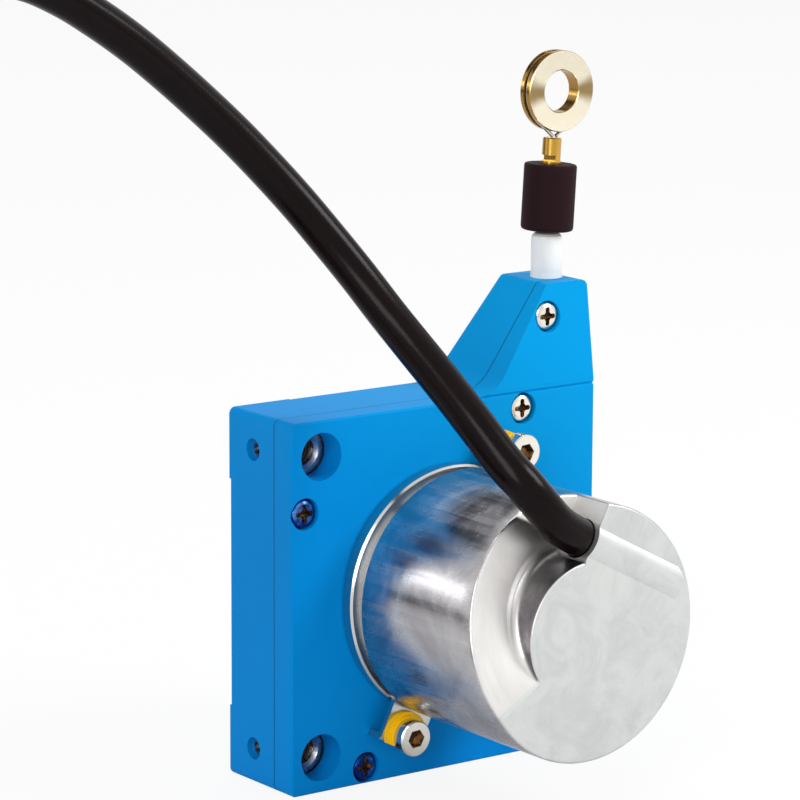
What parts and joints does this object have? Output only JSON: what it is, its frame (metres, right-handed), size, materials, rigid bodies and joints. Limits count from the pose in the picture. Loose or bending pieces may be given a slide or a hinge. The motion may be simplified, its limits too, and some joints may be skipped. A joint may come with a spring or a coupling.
{
  "type": "draw wire encoder",
  "caption": "Square spring-return wire drum box with a leaning wire neck, pull ring and stopper, and a round rotary encoder whose cable leaves through a helical ramp in its face",
  "frame": {"origin": "centre of the rear mounting face, on the plane of its corner pads, midway between the mounting holes", "axes": "+Z along the wire's pull; the encoder is on the -Y side; +X towards the wire's side"},
  "size_m": [0.2088, 0.0848, 0.1232],
  "materials": {
    "blue_plastic": "glass filled moulding, satin",
    "sleeve_steel": "nickel plated",
    "screw_steel": "zinc plated",
    "guide_plastic": "white acetal",
    "bush_plastic": "natural acetal",
    "spring_steel": "spring strip",
    "drum_plastic": "moulded",
    "wire_steel": "stainless",
    "black_steel": "blackened",
    "flange_aluminium": "turned",
    "can_zinc": "die cast, polished side, satin face",
    "black_rubber": "matt",
    "shaft_steel": "ground",
    "bearing_steel": "ground",
    "brass": "bright",
    "code_plastic": "film disc",
    "board": "solder mask",
    "black_plastic": "moulded",
    "yellow_plastic": "moulded",
    "cable_jacket": "semi gloss jacket",
    "core_plastic": "core insulation"
  },
  "bodies": {
    "base": {"rear_housing": "blue_plastic", "front_cover": "blue_plastic", "mounting_sleeves": "sleeve_steel", "cover_screws": "screw_steel", "wire_guide": "guide_plastic", "rear_bush": "bush_plastic", "spring_cover": "wire_steel", "spiral_spring": "spring_steel", "encoder_flange": "flange_aluminium", "encoder_can": "can_zinc", "can_seal": "black_rubber", "bearing_outer_rings": "bearing_steel", "light_source": "black_plastic", "sensor_head": "black_plastic", "circuit_board": "board", "board_components": "black_plastic", "board_posts": "brass", "board_screws": "screw_steel", "board_connector": "guide_plastic", "conductors": "core_plastic", "cable_clamp": "flange_aluminium", "servo_clamps": "flange_aluminium", "clamp_washers": "yellow_plastic", "clamp_screws": "screw_steel", "measuring_wire": "wire_steel", "cable": "cable_jacket", "cable_coil": "cable_jacket", "coil_ties": "black_plastic", "lead_ends": "wire_steel"},
    "drum": {"wire_drum": "drum_plastic", "wound_wire": "wire_steel", "drum_grub_screw": "black_steel", "encoder_shaft": "shaft_steel", "bearing_inner_rings": "bearing_steel", "disc_hub": "flange_aluminium", "code_disc": "code_plastic"},
    "bearing_cage": {"bearing_balls": "bearing_steel", "bearing_cages": "brass"},
    "wire_end": {"wire_loop": "wire_steel", "crimp_ferrule": "brass", "pull_ring": "brass", "rubber_stopper": "black_rubber"}
  },
  "joints": [
    {"name": "wire_pull", "type": "slide", "parent": "base", "child": "wire_end", "axis": [0, 0, 1], "range_m": [0, 1.25], "stiffness_N_per_m": 1.5, "springref_m": -2, "deforming": ["measuring_wire"]},
    {"name": "drum_spin", "type": "hinge", "parent": "base", "child": "drum", "pos_m": [0, 0, 0], "axis": [0, -1, 0], "range_deg": [0, 2974], "deforming": ["spiral_spring"]},
    {"name": "cage_spin", "type": "hinge", "parent": "base", "child": "bearing_cage", "pos_m": [0, 0, 0], "axis": [0, -1, 0], "range_deg": [0, 1241]}
  ],
  "couplings": [
    {"joint": "drum_spin", "follows": "wire_pull", "rad_per_m": 41.494},
    {"joint": "cage_spin", "follows": "wire_pull", "rad_per_m": 17.289}
  ]
}
